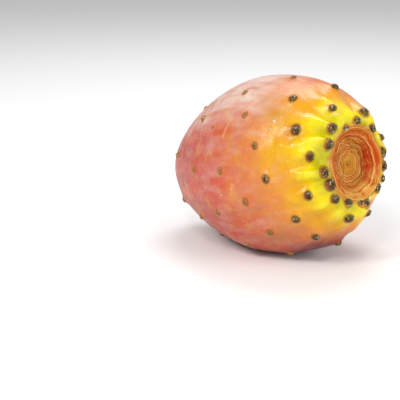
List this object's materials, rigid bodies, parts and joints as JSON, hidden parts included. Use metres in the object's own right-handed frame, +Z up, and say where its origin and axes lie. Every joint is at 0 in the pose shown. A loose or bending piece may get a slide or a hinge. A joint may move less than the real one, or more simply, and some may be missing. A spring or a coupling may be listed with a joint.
{
  "type": "prickly pear fruit",
  "caption": "Whole ripe prickly pear lying on its side: barrel body, sunken ringed flower scar, areole cushions on low humps, small stem scar.",
  "frame": {"origin": "on the surface the fruit lies on, under the middle of its bounding box", "axes": "+Z up; +X towards the flower end, whose axis tips up by 9.9 degrees; -X towards the stem end"},
  "size_m": [0.0769, 0.0576, 0.0568],
  "materials": {
    "rind": "satin",
    "areole": "matte",
    "flower_scar": "matte"
  },
  "bodies": {
    "root": {"prickly_pear": "rind"}
  },
  "joints": []
}
